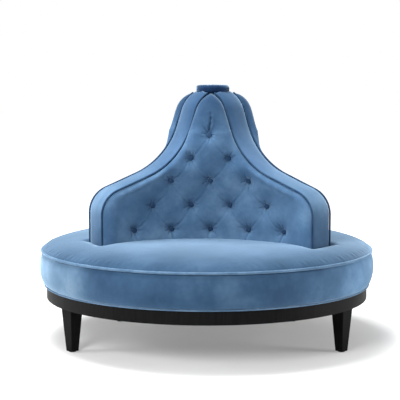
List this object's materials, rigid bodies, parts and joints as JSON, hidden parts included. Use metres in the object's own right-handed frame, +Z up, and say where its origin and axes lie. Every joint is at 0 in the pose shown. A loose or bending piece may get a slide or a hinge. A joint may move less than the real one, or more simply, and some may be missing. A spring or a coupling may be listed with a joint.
{
  "type": "round tufted settee",
  "caption": "Round settee to sit on from all sides: crowned seat on square tapered legs, and a bell-shaped central back whose hollow buttoned panels meet under a small round cap.",
  "frame": {"origin": "on the floor under the middle of the round seat", "axes": "+Z up, -Y towards the pictured front, +X to the right as seen from the front"},
  "size_m": [1.5016, 1.5018, 1.1736],
  "materials": {
    "velvet_blue": "matt velvet with a soft sheen",
    "velvet_navy": "matt velvet with a soft sheen",
    "velvet_cord": "velvet covered cord, a little shiny",
    "foam": "open cell foam",
    "black_wood": "black stained, satin",
    "frame_wood": "sawn softwood, bare",
    "ply": "bare plywood, sanded",
    "steel": "zinc plated",
    "glide": "moulded, matt",
    "under_cloth": "thin black cloth"
  },
  "bodies": {
    "root": {"back_post": "frame_wood", "cap_board": "ply", "cap_pad": "velvet_navy", "corner_block_front_left": "frame_wood", "corner_block_front_right": "frame_wood", "corner_block_rear_left": "frame_wood", "corner_block_rear_right": "frame_wood", "dust_cover": "under_cloth", "fin_board_left": "ply", "fin_board_rear": "ply", "fin_board_right": "ply", "fin_bolts": "steel", "fin_edge_left": "ply", "fin_edge_rear": "ply", "fin_edge_right": "ply", "foot_pads": "glide", "front_rail": "frame_wood", "leg_bolts": "steel", "leg_front_left": "black_wood", "leg_front_right": "black_wood", "leg_rear_left": "black_wood", "leg_rear_right": "black_wood", "long_rail_left": "frame_wood", "long_rail_right": "frame_wood", "panel_buttons_front": "velvet_blue", "panel_buttons_left": "velvet_blue", "panel_buttons_right": "velvet_blue", "panel_pad_front": "velvet_blue", "panel_pad_left": "velvet_blue", "panel_pad_right": "velvet_blue", "panel_stretchers_front": "frame_wood", "panel_stretchers_left": "frame_wood", "panel_stretchers_right": "frame_wood", "plinth_ring": "black_wood", "rear_rail": "frame_wood", "ridge_cord_left_by_front_panel": "velvet_cord", "ridge_cord_left_by_left_panel": "velvet_cord", "ridge_cord_rear_by_left_panel": "velvet_cord", "ridge_cord_rear_by_right_panel": "velvet_cord", "ridge_cord_right_by_front_panel": "velvet_cord", "ridge_cord_right_by_right_panel": "velvet_cord", "ridge_pad_left": "velvet_blue", "ridge_pad_rear": "velvet_blue", "ridge_pad_right": "velvet_blue", "seat_boxing": "velvet_blue", "seat_cord": "velvet_cord", "seat_cover": "velvet_blue", "seat_deck": "ply", "seat_foam": "foam", "seat_hoop": "ply", "seat_hub": "frame_wood", "seat_platform": "ply", "seat_ribs": "frame_wood", "seat_welt": "velvet_cord"}
  },
  "joints": []
}
